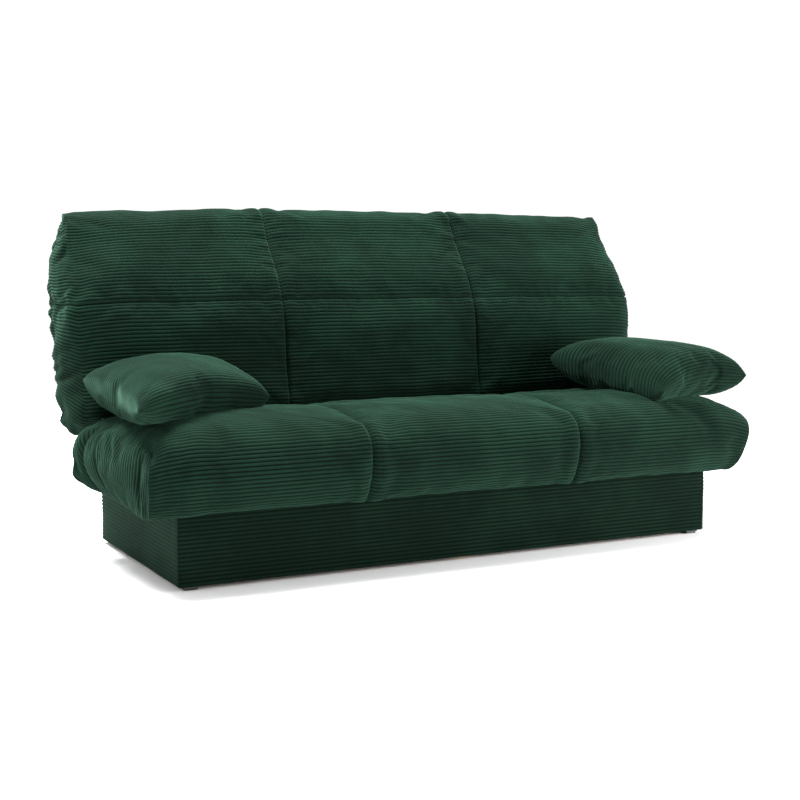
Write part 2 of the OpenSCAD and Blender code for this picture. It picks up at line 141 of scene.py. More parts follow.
def new_piece(name, points, faces, material, **attributes):
    """A smooth mesh object from arrays of points and of faces, with one number per point for
    each attribute."""
    mesh = bpy.data.meshes.new(name)
    mesh.from_pydata(points.tolist(), [], faces.tolist())
    mesh.polygons.foreach_set("use_smooth", np.ones(len(mesh.polygons), bool))
    for key, numbers in attributes.items():
        layer = mesh.attributes.new(key, "FLOAT", "POINT")
        layer.data.foreach_set("value", np.ascontiguousarray(numbers, dtype=np.float32))
    if material is not None:
        mesh.materials.append(material)
    mesh.update()
    piece = bpy.data.objects.new(name, mesh)
    bpy.context.scene.collection.objects.link(piece)
    return piece


paper, paper_shader = new_material("white_studio_paper", Roughness=0.9)
paper_grain = add(paper, "ShaderNodeTexNoise", {"Scale": 30.0, "Detail": 2.0},
                  {"Vector": (add(paper, "ShaderNodeTexCoord"), "Object")})
join(paper, two_tone(paper, paper_grain, "Fac", "#f7f7f7", "#fcfcfc"), 2, paper_shader,
     "Base Color")
FLOOR_HALF = 5.0
floor_x, floor_y = np.meshgrid([-FLOOR_HALF, 0.0, FLOOR_HALF], [-FLOOR_HALF, 0.0, FLOOR_HALF])
floor = new_piece("floor", np.stack([floor_x, floor_y, 0 * floor_x], -1).reshape(-1, 3),
                  grid_faces(np.arange(9).reshape(3, 3)), paper)
floor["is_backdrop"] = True


# ---- Light ----
# A white surround, dimmer in front of the sofa than behind it; a large soft box overhead, a
# little to the left, that lights the seat from above; and a weaker one low on either side.
world = bpy.data.worlds.new("studio")
world.use_nodes = True
surround = world.node_tree.nodes["Background"]
surround.inputs["Color"].default_value = (1, 1, 1, 1)
way_out = add(world, "ShaderNodeTexCoord")
compass = add(world, "ShaderNodeSeparateXYZ", links={0: (way_out, "Generated")})
dimmed = add(world, "ShaderNodeMapRange",
             {"From Min": -0.9, "From Max": 0.1, "To Min": 0.40, "To Max": 1.06},
             {"Value": (compass, "Y")})
join(world, dimmed, "Result", surround, "Strength")
bpy.context.scene.world = world
bpy.context.scene.view_settings.view_transform = "Standard"


def soft_box(name, place, target, size, power):
    """A square area light at place, turned to face target."""
    light = bpy.data.lights.new(name, "AREA")
    light.size = size
    light.energy = power
    lamp = bpy.data.objects.new(name, light)
    way = np.array(target) - np.array(place)
    lamp.location = place
    lamp.rotation_euler = (math.acos(-way[2] / np.linalg.norm(way)), 0,
                           math.atan2(way[1], way[0]) - math.pi / 2)
    bpy.context.scene.collection.objects.link(lamp)


soft_box("key_light", (-1.5, 0.6, 4.2), (0, -0.1, 0.4), 1.8, 640)
soft_box("left_light", (-4.4, -0.3, 1.3), (-0.9, 0.0, 0.3), 1.6, 45)
soft_box("side_light", (2.7, -2.3, 0.8), (0.9, -0.4, 0.30), 1.4, 190)


# ---- Corduroy ----
# Wide-wale cotton corduroy: cut pile in ribs 11 mm apart, dyed bottle green. The pile lightens
# at a grazing angle, the grooves between the ribs are coloured near black, which is the base
# cloth and painted shade in the recess, and handling leaves soft patches where the pile lies
# another way.
RIB = 0.011


def corduroy(name, groove, pile, brushed, sheen):
    """Corduroy from three colours: the groove between the ribs, which is the base cloth with
    painted shade, the pile, and the pile where it is brushed up. The rib attribute counts ribs
    across the cloth; it is whole in a groove."""
    cloth, shader = new_material(
        name, Roughness=0.85, Sheen_Weight=sheen, Sheen_Roughness=0.42,
        Sheen_Tint=linear("#8ccaab"), Specular_IOR_Level=0.02)
    here = add(cloth, "ShaderNodeTexCoord")
    rib = add(cloth, "ShaderNodeAttribute", attribute_name="rib")
    half = add(cloth, "ShaderNodeMath", {1: 0.5}, {0: (rib, "Fac")}, operation="PINGPONG")
    crest = add(cloth, "ShaderNodeMapRange", {"From Min": 0.02, "From Max": 0.30},
                {"Value": (half, "Value")}, interpolation_type="SMOOTHSTEP")
    hand = add(cloth, "ShaderNodeTexNoise", {"Scale": 5.0, "Detail": 4.0, "Roughness": 0.6},
               {"Vector": (here, "Object")})
    patch = add(cloth, "ShaderNodeMapRange", {"From Min": 0.38, "From Max": 0.66},
                {"Value": (hand, "Fac")}, interpolation_type="SMOOTHSTEP")
    tufts = add(cloth, "ShaderNodeTexNoise", {"Scale": 330.0, "Detail": 2.0},
                {"Vector": (here, "Object")})
    tuft_tone = add(cloth, "ShaderNodeMapRange", {"To Min": 0.75, "To Max": 1.25},
                    {"Value": (tufts, "Fac")})
    toned = add(cloth, "ShaderNodeVectorMath",
                links={0: (two_tone(cloth, patch, "Result", pile, brushed), 2),
                       1: (tuft_tone, "Result")}, operation="MULTIPLY")
    # Towards each groove the colour falls to the near-black groove colour: the base cloth, and
    # painted shade in the recess.
    surface = add(cloth, "ShaderNodeMix", {6: linear(groove)},
                  {0: (crest, "Result"), 7: (toned, "Vector")}, data_type="RGBA")
    join(cloth, surface, 2, shader, "Base Color")
    bump = add(cloth, "ShaderNodeBump", {"Strength": 0.4, "Distance": 0.0015},
               {"Height": (tufts, "Fac")})
    join(cloth, bump, "Normal", shader, "Normal")
    return cloth


green_corduroy = corduroy("bottle_green_corduroy", "#040a07", "#0c1b14", "#11251c", 0.17)


# ---- Seat cover ----
# The seat pad wears a quilted corduroy cover, sewn in three panels across its width with one
# more seam along it. Fibre wadding swells the fields between the seams, and the cloth runs over
# both ends and down to a gathered hem under the frame, with a sewn dart at each front corner.
axis = np.array(frame["joints"][0]["pos_m"])
back_fold = next(j for j in frame["joints"] if j["name"] == "back_fold")
lean = math.radians(90 - back_fold["range_deg"][1])
seam_x = float(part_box("seat_cover_mid")[1].x)
end_x = float(cad_high[0])
pad_top = 0.027
crease = 0.003
crease_radius = 0.055


def seat_place(p):
    """Flat pad coordinates (across, from the axis, above the axis) to the seat's place."""
    return np.stack([p[:, 0], axis[1] - p[:, 1], axis[2] + p[:, 2]], -1)


def arc(centre, radius, start, stop, steps=12):
    """Points on a circle's arc, angles in degrees."""
    a = np.radians(np.linspace(start, stop, steps))
    return np.array(centre) + radius * np.stack([np.cos(a), np.sin(a)], -1)


def pad_profile(length, far_radius, crown, power, tail, inset=0.0):
    """The pad's outline from the crease over the top: a quarter circle, a crown that is a sine
    to a power, a quarter circle, and then the tail's points. All is set in by inset."""
    near = crease + crease_radius
    far = length - far_radius
    t = np.linspace(0, 1, 40)[1:-1]
    top = np.stack([near + (far - near) * t,
                    pad_top - inset + crown * np.sin(np.pi * t) ** power], -1)
    return np.concatenate([
        [[crease + inset, -0.10]],
        arc((near, pad_top - crease_radius), crease_radius - inset, 180, 90),
        top,
        arc((far, pad_top - far_radius), far_radius - inset, 90, 0),
        tail])


def even_steps(path, step):
    """Points at equal distances along a path, as near to step as fits."""
    run = np.concatenate([[0], np.cumsum(np.linalg.norm(np.diff(path, axis=0), axis=1))])
    at = np.linspace(0, run[-1], int(round(run[-1] / step)) + 1)
    return np.stack([np.interp(at, run, path[:, 0]), np.interp(at, run, path[:, 1])], -1)


def near_end(x):
    """0 over most of the width, rising to 1 over the last 15 cm towards either end."""
    return np.clip((np.abs(x) - (end_x - 0.15)) / 0.15, 0, 1)


def cover_net(path, ridge, rear_hem, hem_turn):
    """The cover as a net of points. The top grid runs along the path in rows and across in
    columns; each end grid carries the rows before the ridge down the pad's end, and meets the
    top grid's rows past the ridge in a dart. share is how far down an end a point lies. Returns
    points, share, row and column numbers, faces, their part, and the net's counts."""
    step = 0.016
    outer = int(round((end_x - seam_x) / step))
    inner = int(round(2 * seam_x / step))
    x = np.concatenate([np.linspace(-end_x, -seam_x, outer + 1)[:-1],
                        np.linspace(-seam_x, seam_x, inner + 1),
                        np.linspace(seam_x, end_x, outer + 1)[1:]])
    rows, columns, down = len(path), len(x), len(path) - 1 - ridge
    fall = path[ridge:, 1]
    share = (fall[0] - fall) / (fall[0] - fall.min())
    turned = hem_turn * np.clip(np.arange(down + 1) - (down - 3), 0, None)
    top = np.zeros((rows, columns, 4))
    top[..., 0] = x
    top[..., 1] = path[:, None, 0]
    top[..., 2] = path[:, None, 1]
    top[ridge:, :, 3] = share[:, None]
    past = np.clip((np.abs(x) - (end_x - 0.12)) / 0.12, 0, 1)
    top[ridge:, :, 0] -= np.sign(x) * past * turned[:, None]
    along = (path[:ridge + 1, 0] - path[0, 0]) / (path[ridge, 0] - path[0, 0])
    first = path[0, 0] + (rear_hem - path[0, 0]) * share[1:]
    end = np.zeros((ridge + 1, down, 4))
    end[..., 0] = end_x - turned[1:]
    evenly = np.linspace(0, 1, ridge + 1)
    along = along[:, None] + (evenly - along)[:, None] * share[1:]
    end[..., 1] = first + along * (path[ridge + 1:, 0] - first)
    end[..., 2] = path[:ridge + 1, None, 1] + (fall.min() - path[:ridge + 1, None, 1]) * share[1:]
    end[..., 3] = share[1:]
    end[ridge, :, 2] = path[ridge + 1:, 1]
    both = [(end * np.array([side, 1, 1, 1])).reshape(-1, 4) for side in (-1, 1)]
    points = np.concatenate([top.reshape(-1, 4), *both])
    at_top = np.arange(rows * columns).reshape(rows, columns)
    at_left = rows * columns + np.arange((ridge + 1) * down).reshape(ridge + 1, down)
    at_right = at_left + at_left.size
    left_net = np.concatenate([at_left[:, ::-1], at_top[:ridge + 1, :1]], 1)
    right_net = np.concatenate([at_top[:ridge + 1, -1:], at_right], 1)
    nets = ((at_top[:, :outer + 1], 0), (left_net, 0), (at_top[:, outer:outer + inner + 1], 1),
            (at_top[:, outer + inner:], 2), (right_net, 2))
    faces = [grid_faces(net) for net, _ in nets]
    part = np.concatenate([np.full(len(f), number) for f, (_, number) in zip(faces, nets)])
    end_rows = np.repeat(np.arange(ridge + 1), down)
    end_columns = np.tile(np.arange(1, down + 1), ridge + 1)
    row = np.concatenate([np.repeat(np.arange(rows), columns), end_rows, end_rows])
    column = np.concatenate([np.tile(np.arange(columns), rows), -end_columns,
                             columns - 1 + end_columns])
    return (points[:, :3], points[:, 3], row, column, np.concatenate(faces), part,
            (columns, down, outer))


def shaped(p, share, ends, drop, soften, ridge_s):
    """Gives the net its form. The top falls towards each end by drop; the edge there is rounded
    off by soften, most at the edge and as a square away from it; and ends tells how far the end
    stands out past its flat place at a distance from the axis and a share of the way down. drop
    and soften each hold the left end's value and the right end's."""
    x, s, n = p[:, 0].copy(), p[:, 1].copy(), p[:, 2].copy()
    side = np.sign(x)
    w = near_end(x)
    level = np.clip((n - n.min()) / 0.15, 0, 1)
    fall = np.where(x < 0, drop[0], drop[1])
    n = n - fall * w ** 2 * np.clip((s - 0.02) / 0.15, 0, 1) * level
    from_edge = np.hypot(end_x - np.minimum(np.abs(p[:, 0]), end_x), share * 0.2)
    off = np.clip(1 - from_edge / 0.06, 0, 1) ** 2 * np.where(x < 0, soften[0], soften[1])
    x = x - side * off
    n = n - off
    s = s - off * np.clip((s - ridge_s + 0.05) / 0.05, 0, 1)
    x = x + side * w ** 1.5 * ends(side, p[:, 1], share)
    return np.stack([x, s, n], -1)


def swollen(name, points, faces, pinned, slack, pressure, cap):
    """Cloth simulation without gravity: the pinned points stay, pressure swells the rest, and
    slack gives cloth to spare where it is gathered, up to 8 per cent. Each move is eased to stay
    under cap."""
    piece = new_piece(name, points, faces, None)
    pins = piece.vertex_groups.new(name="pins")
    taut = piece.vertex_groups.new(name="taut")
    pins.add(np.flatnonzero(pinned).tolist(), 1.0, "REPLACE")
    levels = 8
    for level in range(levels + 1):
        chosen = np.flatnonzero(np.round((1 - slack) * levels) == level)
        taut.add(chosen.tolist(), level / levels, "REPLACE")
    cloth = piece.modifiers.new("cloth", "CLOTH")
    cloth.settings.quality = 6
    cloth.settings.mass = 0.15
    cloth.settings.tension_stiffness = 12
    cloth.settings.compression_stiffness = 12
    cloth.settings.shear_stiffness = 4
    cloth.settings.bending_stiffness = 0.08
    cloth.settings.air_damping = 3
    cloth.settings.vertex_group_mass = "pins"
    cloth.settings.pin_stiffness = 1.0
    cloth.settings.use_pressure = True
    cloth.settings.uniform_pressure_force = pressure
    cloth.settings.vertex_group_shrink = "taut"
    cloth.settings.shrink_min = -0.08
    cloth.settings.shrink_max = -0.003
    cloth.settings.effector_weights.gravity = 0
    cloth.collision_settings.use_collision = False
    frames = 20
    cloth.point_cache.frame_start = 1
    cloth.point_cache.frame_end = frames
    for step in range(1, frames + 1):
        bpy.context.scene.frame_set(step)
    settled = piece.evaluated_get(bpy.context.evaluated_depsgraph_get()).to_mesh()
    moved = np.zeros(len(points) * 3)
    settled.vertices.foreach_get("co", moved)
    moved = moved.reshape(-1, 3)
    bpy.data.objects.remove(piece)
    bpy.context.scene.frame_set(1)
    away = moved - points
    size = np.maximum(np.linalg.norm(away, axis=1, keepdims=True), 1e-9)
    return points + away * cap * np.tanh(size / cap) / size


def refined(points, faces, levels, **attributes):
    """The net after Catmull-Clark subdivision: points, faces, normals and attributes."""
    piece = new_piece("net", points, faces, None, **attributes)
    finer = piece.modifiers.new("finer", "SUBSURF")
    finer.levels = levels
    finer.render_levels = levels
    mesh = bpy.data.meshes.new_from_object(
        piece.evaluated_get(bpy.context.evaluated_depsgraph_get()))
    co = np.zeros(len(mesh.vertices) * 3)
    mesh.vertices.foreach_get("co", co)
    normal = np.zeros(len(mesh.vertices) * 3)
    mesh.vertex_normals.foreach_get("vector", normal)
    corners = np.zeros(len(mesh.loops), int)
    mesh.loops.foreach_get("vertex_index", corners)
    numbers = {}
    for key in attributes:
        numbers[key] = np.zeros(len(mesh.vertices))
        mesh.attributes[key].data.foreach_get("value", numbers[key])
    bpy.data.objects.remove(piece)
    return co.reshape(-1, 3), corners.reshape(-1, 4), normal.reshape(-1, 3), numbers


def smooth_noise(p, size, seed):
    """A smooth pattern, mostly between -1 and 1: the sum of sines of random directions and
    phases, whose wavelength is about size."""
    rng = np.random.default_rng(seed)
    total = np.zeros(len(p))
    for _ in range(7):
        way = rng.normal(size=3)
        way *= 2 * np.pi / (size * rng.uniform(0.7, 1.5) * np.linalg.norm(way))
        total += np.sin(p @ way + rng.uniform(0, 2 * np.pi))
    return total / 3.5


def rib_height(rib):
    """Height of the pile over the base cloth, from 0 in a groove to 1 on a rib's crest."""
    return np.abs(np.sin(np.pi * rib)) ** 0.7


PILE_HEIGHT = 0.0026
SEAM_DEPTH = 0.0055
HALF_CREASE = 0.0025


def padded_cover(pad, place, mirrored, path, ridge, cross_row, rear_hem, hem_turn, form):
    """Builds a pad's cover as three pieces: net, form, swelling, fine surface, seams and ribs.
    Cloth is loose beside the seams and at the ends, and none of it crosses the crease."""
    p, share, row, column, faces, part, (columns, down, outer) = cover_net(
        path, ridge, rear_hem, hem_turn)
    p = form(p, share, path[ridge, 0])
    on_top = (column >= 0) & (column < columns)
    across = np.minimum(np.abs(column - outer), np.abs(column - (columns - 1 - outer)))
    dart = ((column == 0) | (column == columns - 1)) & (row > ridge) | ~on_top & (row == ridge)
    hem = on_top & (row >= len(path) - 3) | (column <= -(down - 2)) | (
        column >= columns - 1 + down - 2)
    seam = (on_top & (across == 0)) | dart | (row == cross_row)
    slack = np.where(on_top, np.clip(1 - across / 4, 0, 1), 0) * 0.7
    slack = np.maximum(slack, np.clip(1 - np.abs(row - cross_row) / 4, 0, 1) * 0.45)
    loose = np.where(column < 0, 0.9, 0.3) * np.clip((ridge - row) / 8, 0, 1)
    slack = np.maximum(slack, np.where(on_top, 0, loose))
    co = swollen(pad + "_cloth", p, faces, seam | hem | (row == 0), slack, 1.0, 0.019)
    co, faces, normal, at = refined(co, faces, 2, rib=row.astype(float),
                                    seam=(seam & ~dart).astype(float), dart=dart.astype(float))
    part = np.repeat(part, len(faces) // len(part))
    groove = at["seam"] ** 3
    lift = PILE_HEIGHT * rib_height(at["rib"]) * (1 - groove) - SEAM_DEPTH * groove
    lift += smooth_noise(co, 0.10, 5) * 0.0013 + smooth_noise(co, 0.045, 6) * 0.0006
    lift *= 1 - at["dart"]
    co = co + normal * lift[:, None]
    co[:, 1] += smooth_noise(co, 0.16, 11) * 0.0012 * (1 - at["dart"])
    co[:, 1] = np.maximum(co[:, 1], HALF_CREASE)
    co = place(co)
    if mirrored:
        faces = faces[:, ::-1]
    for number, side in enumerate(("left", "mid", "right")):
        used, local = np.unique(faces[part == number], return_inverse=True)
        piece = new_piece(f"{pad}_{side}_quilted_cover", co[used], local.reshape(-1, 4),
                          green_corduroy, rib=at["rib"][used])
        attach(piece, pad)
        ends = [] if side == "mid" else [f"{pad}_end_{side}"]
        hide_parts(f"{pad}_cover_{side}", *ends)


def seat_ends(side, s, share):
    """How far a seat end stands out. The left one bulges most at the rear, where a deep fold
    parts it in two lobes. The right one stands out along its upper edge and narrows downwards.
    Both hems are drawn in."""
    t = np.clip(s / 0.5, 0, 1)
    belly = np.sin(np.pi * share ** 0.8)
    left = (0.004 + 0.036 * (1 - t ** 2)) * belly + 0.020 * (1 - t) * (1 - share)
    left -= 0.030 * share ** 4 * (1 - 0.9 * t)
    fold = np.exp(-((s - 0.115 + 0.03 * share) / 0.022) ** 2)
    left -= 0.030 * fold * np.sin(np.pi * share ** 0.6)
    right = 0.032 + 0.008 * t ** 2 - 0.044 * share ** 1.3 - 0.020 * share ** 10
    right -= 0.014 * belly
    return np.where(side < 0, left, right)


def seat_form(p, share, ridge_s):
    """The seat's net with its ends formed."""
    return shaped(p, share, seat_ends, (0.016, 0.030), (0.020, 0.004), ridge_s)


seat_length = axis[1] - float(cad_low[1])
hem_height = float(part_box("seat_cover_mid")[0].z) - axis[2]
seat_tail = np.array([[seat_length - 0.001, -0.078], [seat_length - 0.009, -0.118],
                      [seat_length - 0.024, -0.156], [seat_length - 0.042, hem_height + 0.002],
                      [seat_length - 0.052, hem_height], [seat_length - 0.062, hem_height + 0.012],
                      [seat_length - 0.064, hem_height + 0.026]])
seat_edge = 0.078
seat_crown = 0.020
seat_path = even_steps(pad_profile(seat_length, seat_edge, seat_crown, 1, seat_tail), RIB)
seat_ridge = int(np.argmax((seat_path[:, 0] > 0.4) & (seat_path[:, 1] < 0.012)))
seat_cross = int(np.argmax(seat_path[:, 0] > 0.175))
padded_cover("seat", seat_place, True, seat_path, seat_ridge, seat_cross, 0.006, 0.006, seat_form)


# ---- Back cover ----
# The back pad wears the same quilted corduroy, in three panels with a seam half way up. Its top
# edge droops to the left corner, which ends in a small ear, and its gathered hem is drawn round
# the steel frame behind.
def back_place(p):
    """Flat pad coordinates to the back's place: the pad's length leans back from the vertical."""
    return np.stack([p[:, 0],
                     axis[1] + p[:, 1] * math.sin(lean) - p[:, 2] * math.cos(lean),
                     axis[2] + p[:, 1] * math.cos(lean) + p[:, 2] * math.sin(lean)], -1)


def back_ends(side, s, share):
    """How far a back end stands out: its front edge swings out below the corner, and its side
    widens to the gathered hem, except near the top, where it turns in."""
    t = np.clip(s / 0.66, 0, 1)
    gathers = 0.004 * np.sin(2 * np.pi * s / 0.052 + 2 * np.sin(s * 31)) * share ** 2
    out = np.where(side < 0, 0.026, 0.032)
    return out * (1 - t ** 6) + (0.018 * (1 - t ** 4) - 0.03 * t ** 8) * share + gathers


def back_form(p, share, ridge_s):
    """The back's net with its ends formed, its top drooping outwards and an ear at each corner."""
    x = np.abs(p[:, 0])
    up = np.clip(p[:, 1] / back_length, 0, 1)
    out = np.clip((x - seam_x) / (end_x - seam_x), 0, 1)
    droop = np.where(p[:, 0] < 0, 0.038, 0.012) * out ** 1.3
    ear = 0.010 * np.clip((x - end_x + 0.045) / 0.045, 0, 1) ** 2
    soften = 0.014 * (1 - up ** 8)
    q = shaped(p, share, back_ends, (0.012, 0.012), (soften, soften), ridge_s)
    q[:, 1] -= (droop - ear) * up ** 3 * np.clip((p[:, 2] + 0.068) / 0.05, 0, 1)
    return q


frame_under = float(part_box("seat_front_rail")[0].z) - axis[2]
back_length = 0.680
back_tail = np.array([[back_length, frame_under + 0.05],
                      [back_length - 0.004, frame_under + 0.008],
                      [back_length - 0.014, frame_under - 0.003],
                      [back_length - 0.034, frame_under - 0.003],
                      [back_length - 0.052, frame_under - 0.003]])
back_edge = 0.045
back_crown = 0.054
back_path = even_steps(pad_profile(back_length, back_edge, back_crown, 2, back_tail), RIB)
back_ridge = int(np.argmax((back_path[:, 0] > 0.5) & (back_path[:, 1] < 0.014)))
back_cross = int(np.argmax(back_path[:, 0] > 0.341))
padded_cover("back", back_place, False, back_path, back_ridge, back_cross, 0.055, 0.014,
             back_form)


# ---- Pillows ----
# Two loose pillows in the same corduroy, each of two square pieces sewn round and filled with
# fibre. They lie on the ends of the seat, flattened underneath, with the rear edge at the back.
def seat_surface(x, y, room):
    """Height of the seat's padded top at a place x across and y from front to rear, plus room.
    It falls towards the ends."""
    top = seat_path[(seat_path[:, 1] > -0.06) & (seat_path[:, 0] > 0.02)]
    fall = np.where(x < 0, 0.013, 0.024) * near_end(x) ** 2
    return axis[2] + np.interp(axis[1] - y, top[:, 0], top[:, 1]) - fall + room


def back_surface(z, room):
    """Place of the back's padded front at a height z, less room."""
    front = back_place(np.insert(back_path[back_path[:, 1] > -0.02], 0, 0.0, axis=1))
    return np.interp(z, front[:, 2], front[:, 1]) - room


def pillow(side, corners, thickness, arch, belly):
    """A pillow from its corners, given round from the front left one. Each face is a square net
    whose height follows the square root of (1 - u^6)(1 - v^6), with its sides drawn in by a
    share of 1 - v^2 and its rows evenly spaced over the swell. It is swollen as cloth, and then
    laid between the corners at its thickness, raised along its middle by arch, most at the
    front. The lower face hangs belly times as deep as the upper one stands."""
    count = 43
    half = 0.2
    fine = np.linspace(-1, 1, 2001)
    run = np.cumsum(np.hypot(half * np.gradient(fine), np.gradient(
        0.5 * thickness * np.sqrt(1 - fine ** 6))))
    even = np.interp(np.linspace(run[0], run[-1], count), run, fine)
    u, v = np.meshgrid(even, even)
    height = np.sqrt(np.clip((1 - u ** 6) * (1 - v ** 6), 0, 1))
    flat_u = half * u * (1 - 0.05 * (1 - v ** 2))
    flat_v = half * v * (1 - 0.05 * (1 - u ** 2))
    upper = np.stack([flat_u, flat_v, 0.40 * thickness * height], -1)
    at = np.arange(count * count).reshape(count, count)
    inner = at[1:-1, 1:-1]
    under = at.copy()
    under[1:-1, 1:-1] = count * count + np.arange(inner.size).reshape(inner.shape)
    p = np.concatenate([upper.reshape(-1, 3), (upper[1:-1, 1:-1] * [1, 1, -1]).reshape(-1, 3)])
    faces = np.concatenate([grid_faces(at), grid_faces(under)[:, ::-1]])
    row = np.concatenate([np.repeat(np.arange(count), count), np.repeat(
        np.arange(1, count - 1), count - 2)]).astype(float)
    both_u = np.abs(np.concatenate([u.ravel(), u[1:-1, 1:-1].ravel()]))
    both_v = np.abs(np.concatenate([v.ravel(), v[1:-1, 1:-1].ravel()]))
    rim = np.maximum(both_u, both_v)
    pinned = np.minimum(both_u, both_v) > 0.99
    p = swollen(f"pillow_{side}_cloth", p, faces, pinned, 0.3 * rim ** 2, 4.0, 0.020)
    co, faces, normal, made = refined(p, faces, 2, rib=row, rim=rim)
    piping = np.clip((made["rim"] - 0.965) / 0.035, 0, 1)
    lift = 0.0022 * rib_height(made["rib"]) * (1 - piping)
    co = co + normal * (lift + smooth_noise(co, 0.06, 21) * 0.0012)[:, None]
    span = 2 * half - 0.006
    a = co[:, :1] / span + 0.5
    b = co[:, 1:2] / span + 0.5
    front_left, front_right, rear_right, rear_left = np.array(corners)
    mid = ((1 - b) * ((1 - a) * front_left + a * front_right)
           + b * ((1 - a) * rear_left + a * rear_right))
    up = np.cross(front_right - front_left, rear_left - front_left)
    up /= np.linalg.norm(up)
    mid[:, 2:] += arch * np.clip(1 - (2 * a - 1) ** 2, 0, 1) * (1 - np.clip(b, 0, 1) / 2)
    deep = np.where(co[:, 2:] < 0, belly, 1.0) * thickness / np.ptp(co[:, 2])
    co = mid + co[:, 2:] * up * deep
    ground = seat_surface(co[:, 0], co[:, 1], 0.004 + 0.001 * rib_height(made["rib"]))
    near = np.clip((ground + 0.02 - co[:, 2]) / 0.04, 0, 1)
    pressed = np.maximum(co[:, 2] + 0.010 * near ** 2, ground)
    co[:, 2] = np.where(near > 0, pressed, co[:, 2])
    co[:, 1] = np.minimum(co[:, 1], back_surface(co[:, 2], 0.014))
    piece = new_piece(f"pillow_{side}_cover", co, faces, green_corduroy, rib=made["rib"])
    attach(piece, f"pillow_{side}")
    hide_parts(f"pillow_{side}")
    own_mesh(piece)


pillow("left", [(-0.962, -0.425, 0.477), (-0.500, -0.135, 0.470), (-0.575, 0.100, 0.535),
                (-0.965, 0.100, 0.517)], 0.132, 0.024, 1.6)
pillow("right", [(0.660, -0.425, 0.456), (1.000, -0.410, 0.494), (0.970, 0.050, 0.500),
                 (0.575, 0.050, 0.532)], 0.172, 0.028, 1.15)


# ---- Box cover ----
# One strip of the same corduroy is stretched round the four boards of the storage box, its ribs
# level with the floor, and turned in over the upper and lower edges. Its colours are darker and
# its sheen weaker than on the pads: painted shade for the shadow under the seat's overhang.
box_low, box_high = (np.array(v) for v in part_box("box_cover"))


def box_wrap(corner):
    """A rectangle with rounded corners, carried up the box. Rows lie a quarter of a rib apart,
    and two more rows at each edge turn the cloth in. The ribs stand out from the boards, and
    the cloth ripples a little between its staples."""
    rows_per_rib = 4
    half = (box_high - box_low)[:2] / 2
    centre = (box_high + box_low)[:2] / 2
    turns = [arc(centre + np.array([sx, sy]) * (half - corner), corner, start, start + 90, 7)
             for sx, sy, start in ((1, -1, -90), (1, 1, 0), (-1, 1, 90), (-1, -1, 180))]
    loop = []
    for turn, after in zip(turns, turns[1:] + turns[:1]):
        steps = int(np.linalg.norm(after[0] - turn[-1]) / 0.02)
        between = np.linspace(0, 1, steps + 1)[1:-1, None]
        loop += [turn, turn[-1] + (after[0] - turn[-1]) * between]
    loop = np.concatenate(loop)
    tangent = np.roll(loop, -1, axis=0) - np.roll(loop, 1, axis=0)
    outward = np.stack([tangent[:, 1], -tangent[:, 0]], -1)
    outward /= np.linalg.norm(outward, axis=1, keepdims=True)
    ribs = int(round((box_high[2] - box_low[2]) / RIB))
    rib = np.linspace(0, ribs, ribs * rows_per_rib + 1)
    z = box_low[2] + (box_high[2] - box_low[2]) * rib / ribs
    out = 0.0019 * rib_height(rib) + 0.0001
    rib = np.concatenate([[-1.2, -0.1], rib, [ribs + 0.1, ribs + 1.2]])
    z = np.concatenate([[z[0] - 0.001, z[0] - 0.001], z, [z[-1] + 0.0005, z[-1] + 0.0005]])
    out = np.concatenate([[-0.013, -0.001], out, [-0.001, -0.006]])
    p = np.zeros((len(z), len(loop), 3))
    p[..., :2] = centre + (loop - centre) * (1 + out[:, None, None] / half)
    p[..., 2] = z[:, None]
    flat = p.reshape(-1, 3)
    ripple = 0.0006 * (1 + smooth_noise(flat * [1, 1, 2.0], 0.13, 31))
    p[..., :2] += outward * ripple.reshape(p.shape[:2])[..., None]
    at = np.arange(flat.shape[0]).reshape(p.shape[:2])
    faces = grid_faces(np.concatenate([at, at[:, :1]], 1))
    return p.reshape(-1, 3), faces, np.repeat(rib, len(loop))


# Darker colours and a weaker sheen than the pads' corduroy: painted shade from the overhanging
# seat.
box_shaded_corduroy = corduroy("box_bottle_green_corduroy", "#030805", "#0a1711", "#0e1e16", 0.11)
wrap_points, wrap_faces, wrap_ribs = box_wrap(0.004)
box_strip = new_piece("box_corduroy_strip", wrap_points, wrap_faces, box_shaded_corduroy, rib=wrap_ribs)
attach(box_strip, "base")
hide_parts("box_cover")


# ---- Foam pads ----
# Each pad is a block of cream polyurethane foam, cut to the pad's outline with its long edges
# rounded. It shows between the slats from behind and below. Cut foam is matt, with open cells
# about a millimetre wide, drawn here twice as coarse so that they show.
foam_cream, foam_shader = new_material("cut_polyurethane_foam", Roughness=0.95,
                                       Specular_IOR_Level=0.2)
foam_cells = add(foam_cream, "ShaderNodeTexVoronoi", {"Scale": 480.0},
                 {"Vector": (add(foam_cream, "ShaderNodeTexCoord"), "Object")})
join(foam_cream, two_tone(foam_cream, foam_cells, "Distance", "#b9ad86", "#d2c79d"), 2,
     foam_shader, "Base Color")
join(foam_cream, add(foam_cream, "ShaderNodeBump", {"Strength": 0.5, "Distance": 0.001},
                     {"Height": (foam_cells, "Distance")}), "Normal", foam_shader, "Normal")


